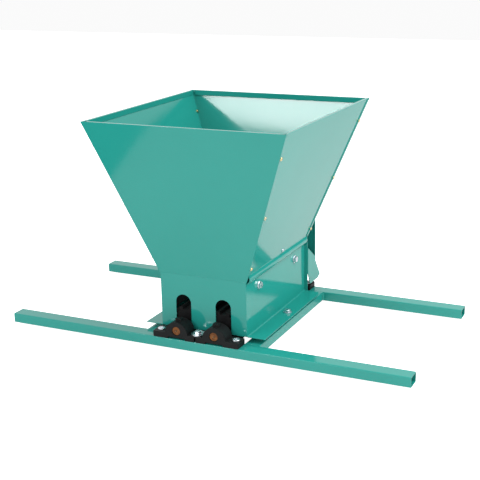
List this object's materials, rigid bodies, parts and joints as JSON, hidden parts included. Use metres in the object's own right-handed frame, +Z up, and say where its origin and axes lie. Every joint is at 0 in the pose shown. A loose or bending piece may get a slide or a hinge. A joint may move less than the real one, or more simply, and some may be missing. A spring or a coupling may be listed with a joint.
{
  "type": "grape crusher",
  "caption": "Hand-cranked grape crusher: flared sheet hopper over a box with two geared ribbed rollers in pillow blocks, carried on two long tube rails.",
  "frame": {"origin": "centre of the front rail's underside", "axes": "+X along the rails to the right seen from the front, +Y from the front rail to the back rail, +Z up"},
  "size_m": [0.95, 0.625, 0.4985],
  "materials": {
    "green_paint": "gloss",
    "yellow_zinc": "satin",
    "bright_zinc": "satin",
    "black_plastic": "satin",
    "roller_nylon": "matte",
    "shaft_steel": "satin",
    "gear_steel": "satin",
    "crank_paint": "gloss"
  },
  "bodies": {
    "frame": {"front_rail": "green_paint", "back_rail": "green_paint", "left_cross_tube": "green_paint", "right_cross_tube": "green_paint", "frame_welds": "green_paint", "box_front_panel": "green_paint", "box_back_panel": "green_paint", "box_left_panel": "green_paint", "box_right_panel": "green_paint", "hopper_front_panel": "green_paint", "hopper_back_panel": "green_paint", "hopper_left_panel": "green_paint", "hopper_right_panel": "green_paint", "gear_guard": "green_paint", "corner_screws": "yellow_zinc", "corner_screw_nuts": "yellow_zinc", "lip_screws": "bright_zinc", "lip_screw_nuts": "bright_zinc", "guide_bolts": "bright_zinc", "guide_washers": "bright_zinc", "guide_nuts": "bright_zinc", "flange_bolts": "bright_zinc", "flange_washers": "bright_zinc", "flange_spacers": "bright_zinc", "flange_captive_nuts": "bright_zinc", "bearing_bolts": "bright_zinc", "clamp_bolts": "bright_zinc", "clamp_washers": "bright_zinc", "bearing_captive_nuts": "bright_zinc", "guard_screws": "bright_zinc", "guard_screw_nuts": "bright_zinc", "front_drive_bearing": "black_plastic", "front_driven_bearing": "black_plastic", "back_drive_bearing": "black_plastic", "back_driven_bearing": "black_plastic", "left_guide_plate": "black_plastic", "right_guide_plate": "black_plastic"},
    "drive": {"drive_shaft": "shaft_steel", "drive_roller": "roller_nylon", "drive_roller_pins": "bright_zinc", "drive_collar": "bright_zinc", "drive_gear": "gear_steel", "drive_gear_key": "gear_steel", "drive_gear_set_screw": "gear_steel", "crank_arm": "crank_paint", "crank_pin": "bright_zinc", "grip_bolt": "bright_zinc", "grip_nut": "bright_zinc"},
    "driven": {"driven_shaft": "shaft_steel", "driven_roller": "roller_nylon", "driven_roller_pins": "bright_zinc", "driven_collar": "bright_zinc", "driven_gear": "gear_steel", "driven_gear_key": "gear_steel", "driven_gear_set_screw": "gear_steel"},
    "grip": {"crank_grip": "black_plastic"}
  },
  "joints": [
    {"name": "crank_turn", "type": "hinge", "parent": "frame", "child": "drive", "pos_m": [-0.045, 0, 0.041], "axis": [0, 1, 0], "continuous": true},
    {"name": "driven_roller_turn", "type": "hinge", "parent": "frame", "child": "driven", "pos_m": [0.045, 0, 0.041], "axis": [0, 1, 0], "continuous": true},
    {"name": "grip_spin", "type": "hinge", "parent": "drive", "child": "grip", "pos_m": [-0.045, 0.4675, 0.241], "axis": [0, 1, 0], "continuous": true}
  ],
  "couplings": [
    {"joint": "driven_roller_turn", "follows": "crank_turn", "ratio": -1}
  ]
}
